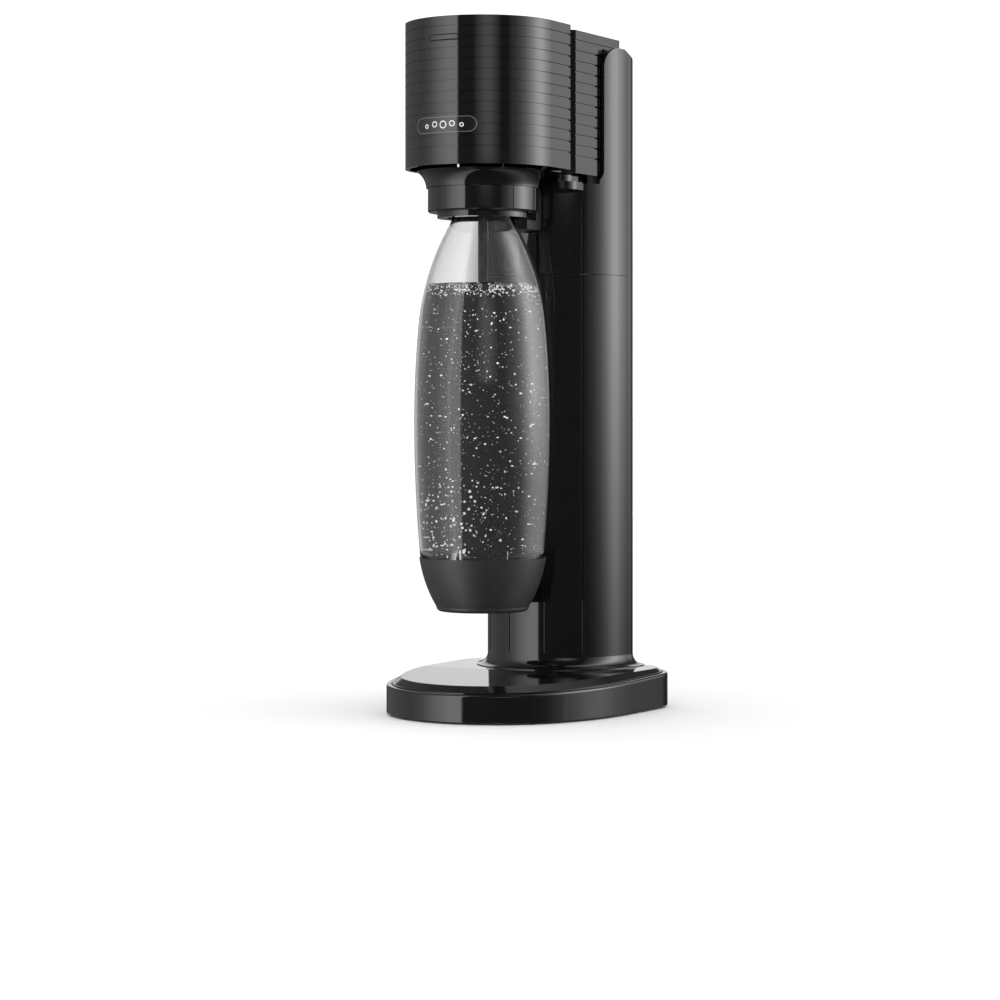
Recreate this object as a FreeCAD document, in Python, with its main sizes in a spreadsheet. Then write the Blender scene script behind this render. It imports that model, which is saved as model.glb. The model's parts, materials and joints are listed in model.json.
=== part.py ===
"""Counter-top soda carbonator: base, column, pressing head, tilting bottle holder, bottle and gas cylinder.

Millimetres, +Z up, front towards -Y. The document's origin is on the table, under the middle of the
base. Sketches are drawn about the bottle's upright axis, which stands 39.5 mm in front of the origin.
"""
import FreeCAD, Part
import math
import os

import Sketcher

SIZES = {
    # overall
    "overall_height": 439.0,
    "base_width": 159.0,
    "base_depth": 183.0,
    "bottle_setback": 52.0,       # base front to bottle axis
    "clearance": 0.3,             # between pieces that move past each other
    "running": 0.05,              # radial, on pins
    # base
    "foot_height": 2.0,
    "foot_radius": 7.0,
    "skirt_lift": 1.5,            # underside of the skirt above the table
    "skirt_wall": 3.0,
    "skirt_front_height": 18.5,
    "skirt_rear_height": 23.5,
    "skirt_edge_round": 1.6,
    "base_taper": 8.5,            # front arc's radius under half the width
    "base_shoulder_radius": 150.0,
    "base_side_radius": 1000.0,
    "base_side_straight": 4.0,
    "base_rear_radius": 34.0,
    "floor_thickness": 2.5,
    "screw_radius": 1.5,
    "ledge_level": 13.0,
    "ledge_thickness": 2.5,
    "ledge_width": 6.0,
    "plate_level": 25.6,          # top of the drip plate
    "plate_rise": 4.5,            # most that the plate stands over the skirt's slope
    "plate_gap": 0.8,
    "plate_thickness": 4.0,
    "plate_bevel_angle": 50.0,
    "plate_step": 0.6,
    # column
    "column_radius": 48.5,
    "column_axis": 105.0,         # bottle axis to the centre of the column's round front
    "column_seam": 108.0,
    "column_back": 127.0,
    "column_rear_radius": 14.5,
    "column_wall": 2.5,
    "column_split": 283.0,
    "column_flare": 7.5,
    "flare_thickness": 0.5,
    "crease_bottom": 36.0,
    "crease_top": 328.0,
    "crease_radius": 0.75,
    "crease_angle": 15.0,
    "shelf_bottom": 337.0,
    "shelf_top": 342.0,
    "shelf_front": 45.0,
    "arch_front": 84.0,
    "arch_top": 432.0,
    "arch_round": 13.0,
    "cover_bottom": 125.0,
    "cover_gap": 0.3,
    "cover_notch_clearance": 0.6,
    # head
    "head_bottom": 347.0,
    "block_radius": 49.4,
    "block_rear": 28.4,
    "block_corner": 3.0,
    "block_wall": 3.0,
    "block_travel": 8.0,
    "rib_count": 12.0,
    "rib_pitch": 6.78,
    "rib_first": 6.5,             # below the top
    "rib_width": 1.2,
    "rib_depth": 0.8,
    "head_inset": 7.5,            # rear shell's side inside the column's
    "head_front": 42.0,
    "head_chamfer": 7.0,
    "head_nose": 34.0,
    "head_rear": 116.0,
    "head_corner": 6.5,
    "head_wall": 2.5,
    "head_window": 31.5,
    "head_window_top": 424.0,
    "pill_rib": 1.0,              # groove that the press mark interrupts
    "pill_width": 22.0,
    "pill_height": 4.0,
    "badge_rib": 9.0,             # groove that the badge interrupts
    "badge_width": 43.0,
    "badge_height": 10.0,
    "inlay_margin": 3.5,
    "inlay_proud": 0.5,
    "button_level": 395.0,
    "button_width": 25.4,
    "button_height": 11.4,
    # frame inside the head
    "deck_level": 400.0,
    "deck_thickness": 3.0,
    "deck_half": 30.0,
    "deck_front": -20.0,
    "frame_side_inner": 33.0,
    "frame_side_outer": 36.0,
    "frame_side_front": 80.0,
    "frame_side_rear": 104.0,
    "frame_side_bottom": 300.0,
    "guide_reach": 24.0,
    "guide_radius": 2.5,
    "lever_pivot": 106.0,
    "lever_level": 415.0,
    "lever_thickness": 6.0,
    "lever_width": 12.0,
    "post_reach": 10.0,
    "post_radius": 3.5,
    "press_gap": 0.5,
    "lever_pin_radius": 2.5,
    "valve_pin_radius": 2.0,
    "spring_wire": 1.2,
    "spring_turns": 5.0,
    # valve and gas cylinder
    "cylinder_axis": 93.0,
    "cylinder_radius": 30.0,
    "cylinder_wall": 3.0,
    "cylinder_foot": 39.0,
    "cylinder_shoulder": 300.0,
    "cylinder_neck": 325.0,
    "cylinder_neck_radius": 14.0,
    "cylinder_travel": 6.0,
    "valve_bottom": 372.0,
    "valve_half": 18.0,
    "valve_stem_top": 377.6,
    "valve_stem_radius": 7.0,
    "lock_level": 384.0,
    "lock_stud_radius": 3.0,
    "hose_radius": 2.5,
    # bottle holder
    "holder_pivot": 360.0,
    "holder_pin_radius": 3.0,
    "holder_pin_half": 24.0,
    "hub_radius": 15.0,
    "collar_radius": 42.0,
    "collar_top": 345.6,
    "ring_radius": 35.0,
    "ring_top": 335.0,
    "ring_bottom": 319.6,
    "ring_bore": 24.0,
    "jaw_radius": 29.0,
    "jaw_thickness": 3.5,
    # bottle
    "bottle_wall": 1.5,
    "bottle_foot": 67.0,
    "cup_top": 101.0,
    "belly_radius": 43.5,
    "belly_level": 188.0,
    "bottle_low_radius": 39.7,
    "shoulder_radius": 40.6,
    "shoulder_level": 250.0,
    "throat_radius": 21.3,
    "throat_level": 312.0,
    "neck_radius": 16.5,
    "neck_start": 330.4,
    "shoulder_curve": 157.0,
    "neck_curve": 37.8,
    "neck_top": 341.0,
    "nozzle_radius": 3.0,
    "nozzle_bottom": 266.0,
}

doc = FreeCAD.newDocument("Carbonator")
PARTS = []


class Size:
    """A length that carries both its value and the sheet expression that gives it."""

    def __init__(self, value, text):
        self.value = value
        self.text = text

    def _joined(self, other, sign, result):
        return Size(result, "(%s %s %s)" % (self.text, sign, size(other).text))

    def __add__(self, other):
        return self._joined(other, "+", self.value + size(other).value)

    def __sub__(self, other):
        return self._joined(other, "-", self.value - size(other).value)

    def __mul__(self, other):
        return self._joined(other, "*", self.value * size(other).value)

    def __truediv__(self, other):
        return self._joined(other, "/", self.value / size(other).value)

    def __radd__(self, other):
        return size(other) + self

    def __rsub__(self, other):
        return size(other) - self

    def __rmul__(self, other):
        return size(other) * self

    def __neg__(self):
        return Size(-self.value, "(-1 * %s)" % self.text)


def size(number):
    """Any number as a Size."""
    if isinstance(number, Size):
        return number
    return Size(float(number), "(%.6f)" % number)


class Named:
    """The sheet's cells as attributes."""

    def __getattr__(self, name):
        return Size(SIZES[name], "Sizes." + name)


S = Named()


def write_sheet():
    """Puts every driving size into the spreadsheet, one named cell each."""
    sheet = doc.addObject("Spreadsheet::Sheet", "Sizes")
    for row, (name, value) in enumerate(SIZES.items(), 1):
        sheet.set("A%d" % row, name)
        sheet.set("B%d" % row, str(value))
        sheet.setAlias("B%d" % row, name)
    doc.recompute()


def bind(thing, path, length):
    """Sets a property now and ties it to the sheet."""
    length = size(length)
    if "." not in path:
        setattr(thing, path, length.value)
    thing.setExpression(path, length.text)


# ---------------------------------------------------------------- sketches

def pin(sk, geometry, end, x, y):
    """Ties one point of a sketch to its place."""
    for kind, place in (("DistanceX", size(x)), ("DistanceY", size(y))):
        index = sk.addConstraint(Sketcher.Constraint(kind, -1, 1, geometry, end, place.value))
        sk.setExpression("Constraints[%d]" % index, place.text)


def fix(sk, kind, geometry, length, *end):
    """Adds one dimension to a sketch and ties it to the sheet."""
    length = size(length)
    index = sk.addConstraint(Sketcher.Constraint(kind, geometry, *end, length.value))
    sk.setExpression("Constraints[%d]" % index, length.text)


def arc_through(start, end, radius):
    """The short arc between two points; a positive radius turns left."""
    ax, ay = start
    bx, by = end
    chord = math.hypot(bx - ax, by - ay)
    rise = math.sqrt(max(radius * radius - chord * chord / 4, 0.0))
    side = 1 if radius > 0 else -1
    cx = (ax + bx) / 2 - side * rise * (by - ay) / chord
    cy = (ay + by) / 2 + side * rise * (bx - ax) / chord
    first = math.atan2(ay - cy, ax - cx)
    last = math.atan2(by - cy, bx - cx)
    if side < 0:
        first, last = last, first
    circle = Part.Circle(FreeCAD.Vector(cx, cy, 0), FreeCAD.Vector(0, 0, 1), abs(radius))
    return Part.ArcOfCircle(circle, first, last)


def loop(points):
    """A closed outline. A third entry in a point is the radius of the arc that leads to it."""
    def draw(sk):
        corners = [(size(p[0]), size(p[1])) for p in points]
        radii = [size(p[2]) if len(p) > 2 else None for p in points]
        flat = [(x.value, y.value) for x, y in corners]
        for i, radius in enumerate(radii):
            before = flat[i - 1]
            if radius is None:
                piece = Part.LineSegment(FreeCAD.Vector(*before, 0), FreeCAD.Vector(*flat[i], 0))
                ends = (1, 2)
            else:
                piece = arc_through(before, flat[i], radius.value)
                ends = (1, 2) if radius.value > 0 else (2, 1)
            index = sk.addGeometry(piece)
            pin(sk, index, ends[0], *corners[i - 1])
            pin(sk, index, ends[1], *corners[i])
            if radius is not None:
                fix(sk, "Radius", index, radius if radius.value > 0 else -radius)
    return draw


def circle(x, y, radius):
    """A full circle."""
    def draw(sk):
        centre = FreeCAD.Vector(size(x).value, size(y).value, 0)
        index = sk.addGeometry(Part.Circle(centre, FreeCAD.Vector(0, 0, 1), size(radius).value))
        pin(sk, index, 3, x, y)
        fix(sk, "Radius", index, radius)
    return draw


def box(x_low, y_low, x_high, y_high):
    """A rectangle."""
    return loop([(x_low, y_low), (x_high, y_low), (x_high, y_high), (x_low, y_high)])


def pill(x, y, width, height):
    """A rectangle with round ends, drawn with quarter arcs."""
    x, y, end, reach = size(x), size(y), size(height) / 2, size(width) / 2
    inner = reach - end
    return loop([
        (x - inner, y - end, end),
        (x + inner, y - end),
        (x + reach, y, end),
        (x + inner, y + end, end),
        (x - inner, y + end),
        (x - reach, y, end),
    ])


def rounded_box(x_low, y_low, x_high, y_high, corner):
    """A rectangle with four equal round corners."""
    x_low, y_low, x_high, y_high = size(x_low), size(y_low), size(x_high), size(y_high)
    return loop([
        (x_low + corner, y_low, corner),
        (x_high - corner, y_low),
        (x_high, y_low + corner, corner),
        (x_high, y_high - corner),
        (x_high - corner, y_high, corner),
        (x_low + corner, y_high),
        (x_low, y_high - corner, corner),
        (x_low, y_low + corner),
    ])


# ---------------------------------------------------------------- features

def new_body(label, x=0.0, y=0.0, z=0.0):
    """A piece of its own, placed about the bottle's axis."""
    body = doc.addObject("PartDesign::Body", label)
    body.Label = label
    bottle_shift = S.bottle_setback - S.base_depth / 2
    bind(body, "Placement.Base.x", x)
    bind(body, "Placement.Base.y", bottle_shift + y)
    bind(body, "Placement.Base.z", z)
    PARTS.append(body)
    return body


def sketch(body, plane, at, outlines):
    """A sketch on one of the body's own planes, moved along that plane's normal."""
    sk = body.newObject("Sketcher::SketchObject", body.Name + "_sketch")
    support = [f for f in body.Origin.OriginFeatures if f.Role == plane + "_Plane"][0]
    sk.AttachmentSupport = [(support, "")]
    sk.MapMode = "FlatFace"
    at = size(at)
    sk.AttachmentOffset = FreeCAD.Placement(FreeCAD.Vector(0, 0, at.value), FreeCAD.Rotation())
    sk.setExpression("AttachmentOffset.Base.z", at.text)
    for outline in outlines:
        outline(sk)
    sk.Visibility = False
    return sk


def pad(body, plane, at, length, *outlines):
    """Adds material from the sketch along its plane's normal (+Z, -Y or +X)."""
    feature = body.newObject("PartDesign::Pad", body.Name + "_pad")
    feature.Profile = sketch(body, plane, at, outlines)
    bind(feature, "Length", length)
    doc.recompute()
    return feature


def cut(body, plane, at, length, *outlines):
    """Removes material from the sketch along its plane's normal, and makes sure that it did."""
    before = body.Shape.Volume
    feature = body.newObject("PartDesign::Pocket", body.Name + "_cut")
    feature.Profile = sketch(body, plane, at, outlines)
    feature.Reversed = True
    bind(feature, "Length", length)
    doc.recompute()
    if not body.Shape.Volume < before - 1e-6:
        raise ValueError(feature.Name + " cuts nothing")
    return feature


def turn(body, *outlines):
    """A solid of revolution about the body's Z axis."""
    feature = body.newObject("PartDesign::Revolution", body.Name + "_turn")
    feature.Profile = sketch(body, "XZ", 0, outlines)
    feature.ReferenceAxis = (feature.Profile[0], ["V_Axis"])
    feature.Angle = 360
    doc.recompute()
    return feature


def edges_where(body, test):
    """Names of the current solid's edges that pass a test."""
    names = ["Edge%d" % (i + 1) for i, edge in enumerate(body.Tip.Shape.Edges) if test(edge)]
    if not names:
        raise ValueError(body.Label + " has no such edge")
    return names


def fillet(body, radius, test):
    """Rounds the edges that pass a test."""
    names = edges_where(body, test)
    before = body.Tip
    feature = body.newObject("PartDesign::Fillet", body.Name + "_fillet")
    feature.Base = (before, names)
    bind(feature, "Radius", radius)
    doc.recompute()
    return feature


def level_edge(z):
    """True for edges that lie at one height."""
    z = size(z).value
    return lambda edge: all(abs(v.Z - z) < 1e-4 for v in edge.Vertexes) and abs(
        edge.CenterOfMass.z - z) < 1e-4


# ---------------------------------------------------------------- shared outlines

def rearward_crossing(centre_a, radius_a, centre_b, radius_b):
    """Where two circles cross, on the side nearer the rear."""
    ax, ay = centre_a
    bx, by = centre_b
    apart = math.hypot(bx - ax, by - ay)
    along = (radius_a ** 2 - radius_b ** 2 + apart ** 2) / (2 * apart)
    aside = math.sqrt(radius_a ** 2 - along ** 2)
    ux, uy = (bx - ax) / apart, (by - ay) / apart
    points = [(ax + along * ux - s * aside * uy, ay + along * uy + s * aside * ux) for s in (1, -1)]
    return max(points, key=lambda p: p[1])


def base_outline(inset):
    """The base in plan, drawn in by inset: tangent arcs all round, and short straights at the rear."""
    def draw(sk):
        front = S.base_width / 2 - S.base_taper - inset
        shoulder = S.base_shoulder_radius - inset
        side = S.base_side_radius - inset
        rear_corner = S.base_rear_radius - inset
        half = S.base_width / 2 - inset
        rear = S.base_depth - S.bottle_setback - inset
        front_y = front + inset - S.bottle_setback
        corner_y = S.base_depth - S.bottle_setback - S.base_rear_radius
        side_y = corner_y - S.base_side_straight
        corner_x = half - rear_corner
        side_x = half - side
        shoulder_at = rearward_crossing((0, front_y.value), shoulder.value - front.value,
                                        (side_x.value, side_y.value), side.value - shoulder.value)
        shoulder_at = (-abs(shoulder_at[0]), shoulder_at[1])

        def heading(centre, point):
            return math.atan2(point[1] - centre[1], point[0] - centre[0])

        to_front = heading(shoulder_at, (0, front_y.value))
        to_side = heading((side_x.value, side_y.value), shoulder_at)
        straight = (corner_y.value, side_y.value)
        arcs = [
            ((0, front_y.value), front, math.pi - to_front, to_front),
            (shoulder_at, shoulder, to_front, to_side),
            ((side_x.value, side_y.value), side, to_side, 0.0),
            None,
            ((corner_x.value, corner_y.value), rear_corner, 0.0, math.pi / 2),
            None,
            ((-corner_x.value, corner_y.value), rear_corner, math.pi / 2, math.pi),
            None,
            ((-side_x.value, side_y.value), side, math.pi, math.pi - to_side),
            ((-shoulder_at[0], shoulder_at[1]), shoulder, math.pi - to_side, math.pi - to_front),
        ]
        lines = {
            3: ((half.value, straight[1]), (half.value, straight[0])),
            5: ((corner_x.value, rear.value), (-corner_x.value, rear.value)),
            7: ((-half.value, straight[0]), (-half.value, straight[1])),
        }
        for index, arc in enumerate(arcs):
            if arc is None:
                start, end = lines[index]
                sk.addGeometry(Part.LineSegment(FreeCAD.Vector(*start, 0), FreeCAD.Vector(*end, 0)))
            else:
                centre, radius, first, last = arc
                ring = Part.Circle(FreeCAD.Vector(*centre, 0), FreeCAD.Vector(0, 0, 1), radius.value)
                sk.addGeometry(Part.ArcOfCircle(ring, first, last))
        for index in range(len(arcs)):
            after = (index + 1) % len(arcs)
            sk.addConstraint(Sketcher.Constraint("Tangent", index, 2, after, 1))
        pin(sk, 0, 3, 0, front_y)
        fix(sk, "Radius", 0, front)
        for index, radius in ((1, shoulder), (9, shoulder), (2, side), (8, side), (4, rear_corner),
                              (6, rear_corner)):
            fix(sk, "Radius", index, radius)
        pin(sk, 4, 3, corner_x, corner_y)
        pin(sk, 6, 3, -corner_x, corner_y)
        for index, centre_y in ((2, side_y), (8, side_y)):
            place = Sketcher.Constraint("DistanceY", -1, 1, index, 3, centre_y.value)
            sk.setExpression("Constraints[%d]" % sk.addConstraint(place), centre_y.text)
    return draw


def front_outline(inset, past=0.0):
    """The column's round front half in plan, ending at the side seam or a little past it."""
    radius = S.column_radius - inset
    end = S.column_seam + past
    return loop([
        (-radius, end),
        (-radius, S.column_axis),
        (0, S.column_axis - radius, radius),
        (radius, S.column_axis, radius),
        (radius, end),
    ])


def rear_outline(inset, past=0.0):
    """The column's rear half in plan, from the side seam back."""
    half = S.column_radius - inset
    back = S.column_back - inset
    corner = S.column_rear_radius - inset
    start = S.column_seam + S.cover_gap - past
    return loop([
        (-half, start),
        (half, start),
        (half, back - corner),
        (half - corner, back, corner),
        (corner - half, back),
        (-half, back - corner, corner),
    ])


def block_outline(inset):
    """The pressing block in plan: round front, straight sides, small rear corners."""
    radius = S.block_radius - inset
    rear = S.block_rear - inset
    corner = S.block_corner
    return loop([
        (-radius, 0),
        (0, -radius, radius),
        (radius, 0, radius),
        (radius, rear - corner),
        (radius - corner, rear, corner),
        (corner - radius, rear),
        (-radius, rear - corner, corner),
    ])


def head_outline(inset):
    """The fixed rear shell in plan: a narrow nose, chamfered shoulders, round rear corners."""
    half = S.column_radius - S.head_inset - inset
    nose = S.head_nose - inset
    tip = S.block_rear + 1.0 + inset
    step = S.head_front + inset
    rear = S.head_rear - inset
    corner = S.head_corner - inset
    return loop([
        (-nose, tip),
        (nose, tip),
        (nose, step),
        (half, step + S.head_chamfer),
        (half, rear - corner),
        (half - corner, rear, corner),
        (corner - half, rear),
        (-half, rear - corner, corner),
        (-half, step + S.head_chamfer),
        (-nose, step),
    ])


# ---------------------------------------------------------------- base

def skirt_slope(lift):
    """The sloping plane of the skirt's top edge, seen from the side, with room above it."""
    front = -S.bottle_setback - 1
    rear = S.base_depth - S.bottle_setback + 1
    above = S.skirt_rear_height + 20
    return loop([
        (front, S.skirt_front_height + lift),
        (rear, S.skirt_rear_height + lift),
        (rear, above),
        (front, above),
    ])


def base_skirt():
    body = new_body("base_skirt")
    top = S.skirt_rear_height + 2
    pad(body, "XY", S.skirt_lift, top - S.skirt_lift, base_outline(size(0)))
    cut(body, "YZ", -S.base_width, S.base_width * 2, skirt_slope(0))
    level = SIZES["ledge_level"]
    fillet(body, S.skirt_edge_round, lambda edge: all(v.Z > level for v in edge.Vertexes))
    cut(body, "XY", S.skirt_lift, S.ledge_level - S.skirt_lift, base_outline(S.skirt_wall))
    cut(body, "XY", S.ledge_level + S.ledge_thickness, top, base_outline(S.skirt_wall))
    cut(body, "XY", 0, top, base_outline(S.skirt_wall + S.ledge_width))


FOOT_PLACES = ((S.base_width / 2 - 35.5, -14), (S.base_width / 2 - 21.5, 100))
SCREW_PLACES = ((S.base_width / 2 - 51.5, -30), (S.base_width / 2 - 19, 40), (S.base_width / 2 - 21.5, 78))
COLUMN_SCREW_PLACES = ((S.column_radius - 9, 92),)


def both_sides(places):
    """Each place and its mirror image."""
    return [(side * x, y) for x, y in places for side in (1, -1)]


def base_floor():
    body = new_body("base_floor")
    pad(body, "XY", S.foot_height, S.floor_thickness, base_outline(S.skirt_wall + S.running))
    holes = [circle(x, y, 1.6) for x, y in both_sides(SCREW_PLACES)]
    cut(body, "XY", 0, S.foot_height + S.floor_thickness + 1, *holes)


def rubber_feet():
    body = new_body("rubber_feet")
    feet = [circle(x, y, S.foot_radius) for x, y in both_sides(FOOT_PLACES)]
    pad(body, "XY", 0, S.foot_height, *feet)


def drip_plate():
    body = new_body("drip_plate")
    edge = S.skirt_wall + S.plate_gap
    seat = S.ledge_level + S.ledge_thickness
    pad(body, "XY", seat, S.plate_level - seat, base_outline(edge))
    cut(body, "YZ", -S.base_width, S.base_width * 2, skirt_slope(S.plate_step))
    slope = (S.skirt_rear_height - S.skirt_front_height) / S.base_depth
    level = S.skirt_front_height + S.bottle_setback * slope + S.plate_step - 0.05
    raised = pad(body, "XY", level, S.plate_thickness * 2, base_outline(edge + S.plate_step))
    tilt = math.degrees(math.atan(slope.value))
    raised.Profile[0].AttachmentOffset = FreeCAD.Placement(
        FreeCAD.Vector(0, 0, level.value), FreeCAD.Rotation(FreeCAD.Vector(1, 0, 0), tilt))
    raised.Profile[0].setExpression("AttachmentOffset.Rotation.Angle", "atan(%s)" % slope.text)
    raised.TaperAngle = -SIZES["plate_bevel_angle"]
    doc.recompute()
    cut(body, "XY", S.plate_level, S.plate_thickness * 2, base_outline(size(0)))
    cut(body, "YZ", -S.base_width, S.base_width * 2, skirt_slope(S.plate_rise))
    cut(body, "XY", seat, S.plate_level - seat - S.plate_thickness, base_outline(edge + 16))
    floor_top = S.foot_height + S.floor_thickness
    bosses = [circle(x, y, 4) for x, y in both_sides(SCREW_PLACES)]
    pad(body, "XY", floor_top, S.plate_level - S.plate_thickness + 0.5 - floor_top, *bosses)
    holes = [circle(x, y, S.screw_radius) for x, y in both_sides(SCREW_PLACES)]
    cut(body, "XY", floor_top, 12, *holes)
    holes = [circle(x, y, 1.6) for x, y in both_sides(COLUMN_SCREW_PLACES)]
    cut(body, "XY", seat, S.plate_level - seat + 1, *holes)
    notch = S.column_radius + S.clearance
    cut(body, "XY", floor_top, S.plate_level, box(-notch, S.column_seam, notch, S.base_depth))


def screws(label, places, axis_level, head_radius=2.8):
    """Upright screws with their heads below the given level."""
    body = new_body(label)
    heads = [circle(x, y, head_radius) for x, y in places]
    pad(body, "XY", axis_level - 1.3, 1.3, *heads)
    shanks = [circle(x, y, S.screw_radius - 0.02) for x, y in places]
    pad(body, "XY", axis_level, 10, *shanks)


# ---------------------------------------------------------------- column

def crease(angle):
    """A fine round-bottomed line down the column's face, at an angle from its front."""
    x = S.column_radius * math.sin(math.radians(angle))
    y = S.column_axis - S.column_radius * math.cos(math.radians(angle))
    return circle(x, y, S.crease_radius)


def near_wall(edge):
    """True where an edge runs along the column's own wall, not along its flared foot."""
    reach = SIZES["column_radius"] + SIZES["column_flare"] / 2
    return all(math.hypot(v.X, v.Y - SIZES["column_axis"]) < reach for v in edge.Vertexes)


def flared_foot(body, outline, wall_test):
    """A thin flange round the foot with a hollow curve up to the wall."""
    top = S.plate_level + S.flare_thickness
    pad(body, "XY", S.plate_level, S.flare_thickness, outline(-S.column_flare))
    at_top = level_edge(top)
    fillet(body, S.column_flare - 0.3, lambda edge: at_top(edge) and wall_test(edge))


def column_lower_shell():
    body = new_body("column_lower_shell")
    top = S.column_split - S.cover_gap
    pad(body, "XY", S.plate_level, top - S.plate_level, front_outline(size(0)))
    flared_foot(body, front_outline, near_wall)
    cut(body, "XY", S.plate_level - 1, top, front_outline(S.column_wall, 1))
    inner, outer = SIZES["crease_angle"], 3 * SIZES["crease_angle"]
    creases = [crease(a) for a in (-outer, -inner, inner, outer)]
    cut(body, "XY", S.crease_bottom, top, *creases)
    bosses = [circle(x, y, 5) for x, y in both_sides(COLUMN_SCREW_PLACES)]
    pad(body, "XY", S.plate_level, 20, *bosses)
    holes = [circle(x, y, S.screw_radius) for x, y in both_sides(COLUMN_SCREW_PLACES)]
    cut(body, "XY", S.plate_level - 1, 15, *holes)


def crown():
    """What is cut off behind the column's top to give it its sloping crown, seen from the side."""
    top = S.arch_top
    back = S.column_back
    return loop([
        (back - 23, top),
        (back - 6, top - 6.5),
        (back, top - 14.5, -9),
        (back + 3, top - 14.5),
        (back + 3, top + 8),
        (back - 23, top + 8),
    ])


FRAME_SCREWS = ((92, 308), (92, 326))


def column_upper_shell():
    body = new_body("column_upper_shell")
    pad(body, "XY", S.column_split, S.arch_top - S.column_split, front_outline(size(0)))
    shelf = rounded_box(-38, S.shelf_front, 38, S.column_axis - 30, 12)
    pad(body, "XY", S.shelf_bottom, S.shelf_top - S.shelf_bottom, shelf)
    cut(body, "XY", S.column_split - 1, S.arch_top, front_outline(S.column_wall, 1))
    front, low, top, round_ = S.arch_front, S.shelf_top, S.arch_top, S.arch_round
    opening = loop([
        (-S.bottle_setback, low),
        (front - 10, low),
        (front, low + 10, 10),
        (front, top - round_),
        (front + round_, top, -round_),
        (front + round_, top + 8),
        (-S.bottle_setback, top + 8),
    ])
    width = S.column_radius * 2 + 2
    cut(body, "YZ", -width / 2, width, opening)
    cut(body, "XY", low, S.arch_top, head_outline(size(-1)))
    cut(body, "YZ", -width / 2, width, crown())
    creases = [crease(a) for a in (-3 * SIZES["crease_angle"], 3 * SIZES["crease_angle"])]
    cut(body, "XY", S.column_split - 1, S.crease_top - S.column_split, *creases)
    reach = S.column_radius - 3.2 - S.frame_side_outer
    bosses = [circle(y, z, 4) for y, z in FRAME_SCREWS]
    pad(body, "YZ", S.frame_side_outer, reach, *bosses)
    pad(body, "YZ", -S.frame_side_outer - reach, reach, *bosses)
    holes = [circle(y, z, S.screw_radius) for y, z in FRAME_SCREWS]
    cut(body, "YZ", S.frame_side_outer - 1, 8.5, *holes)
    cut(body, "YZ", -S.frame_side_outer - 7.5, 8.5, *holes)


def rear_lower_panel():
    body = new_body("rear_lower_panel")
    foot = S.ledge_level + S.ledge_thickness
    pad(body, "XY", foot, S.cover_bottom - foot, rear_outline(size(0)))
    flared_foot(body, rear_outline, lambda edge: all(
        abs(v.X) < SIZES["column_radius"] + 1 and v.Y < SIZES["column_back"] + 1
        for v in edge.Vertexes) and abs(edge.CenterOfMass.y - SIZES["column_seam"]) > 1)
    wide = S.column_radius + S.column_flare + 1
    cut(body, "XY", foot - 1, S.cover_bottom, box(-wide, S.column_back, wide, S.column_back + 20))
    cut(body, "XY", foot - 1, S.cover_bottom, rear_outline(S.column_wall, 1))


def rear_cover():
    body = new_body("rear_cover")
    low = S.cover_bottom + S.cover_gap
    pad(body, "XY", low, S.arch_top - low, rear_outline(size(0)))
    cut(body, "YZ", -S.column_radius, S.column_radius * 2, crown())
    cut(body, "XY", low - 1, S.arch_top - 18 - low + 1, rear_outline(S.column_wall, 1))
    side = S.column_radius - S.head_inset + S.cover_notch_clearance
    rear = S.head_rear + S.cover_notch_clearance
    cut(body, "XY", low, S.arch_top, box(-side, S.column_seam - 2, side, rear))
    inner = S.column_back - S.column_wall
    for x in (-30, 18):
        pad(body, "XY", low, 10, box(x, inner - 3.3, x + 12, inner + 0.5))
        pad(body, "XY", low - 7.3, 7.3, box(x, inner - 3.3, x + 12, inner - 0.6))
    hole = pill(0, S.button_level, S.button_width + 2 * S.clearance, S.button_height + 2 * S.clearance)
    cut(body, "XZ", -S.column_back - 0.5, S.column_wall + 1, hole)


def cover_button():
    body = new_body("cover_button")
    inner = S.column_back - S.column_wall - S.clearance
    cap = pill(0, S.button_level, S.button_width, S.button_height)
    pad(body, "XZ", -S.column_back - 0.8, S.column_wall + 3, cap)
    flange = pill(0, S.button_level, S.button_width + 5, S.button_height + 4)
    pad(body, "XZ", -inner, 2.2, flange)


# ---------------------------------------------------------------- head

def ribs(body, outline):
    """Cuts the fine level grooves round a head shell, from the lowest up."""
    last = S.rib_count - 1
    lowest = S.overall_height - S.rib_first - last * S.rib_pitch
    room = box(-70, -70, 70, 130)
    first = cut(body, "XY", lowest - S.rib_width / 2, S.rib_width, room, outline(S.rib_depth))
    rows = body.newObject("PartDesign::LinearPattern", body.Name + "_ribs")
    rows.Originals = [first]
    axis = [f for f in body.Origin.OriginFeatures if f.Role == "Z_Axis"][0]
    rows.Direction = (axis, [""])
    bind(rows, "Length", last * S.rib_pitch)
    rows.setExpression("Occurrences", "Sizes.rib_count")
    rows.Occurrences = int(SIZES["rib_count"])
    body.Tip = rows
    doc.recompute()


def rib_level(index):
    """Height of one groove, counted down from the top."""
    return S.overall_height - S.rib_first - index * S.rib_pitch


def plain_patch(body, level, half):
    """Fills one groove across the front, behind an inlay, and trims the fill to the round face."""
    radius = S.block_radius
    low, high = level - S.rib_width, level + S.rib_width
    pad(body, "XZ", radius - 9, 12, box(-half, low, half, high))
    outside = loop([
        (-70, -70), (70, -70), (70, 0), (radius, 0), (0, -radius, -radius), (-radius, 0, -radius),
        (-70, 0),
    ])
    cut(body, "XY", low - 1, 2 * S.rib_width + 2, outside)


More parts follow.
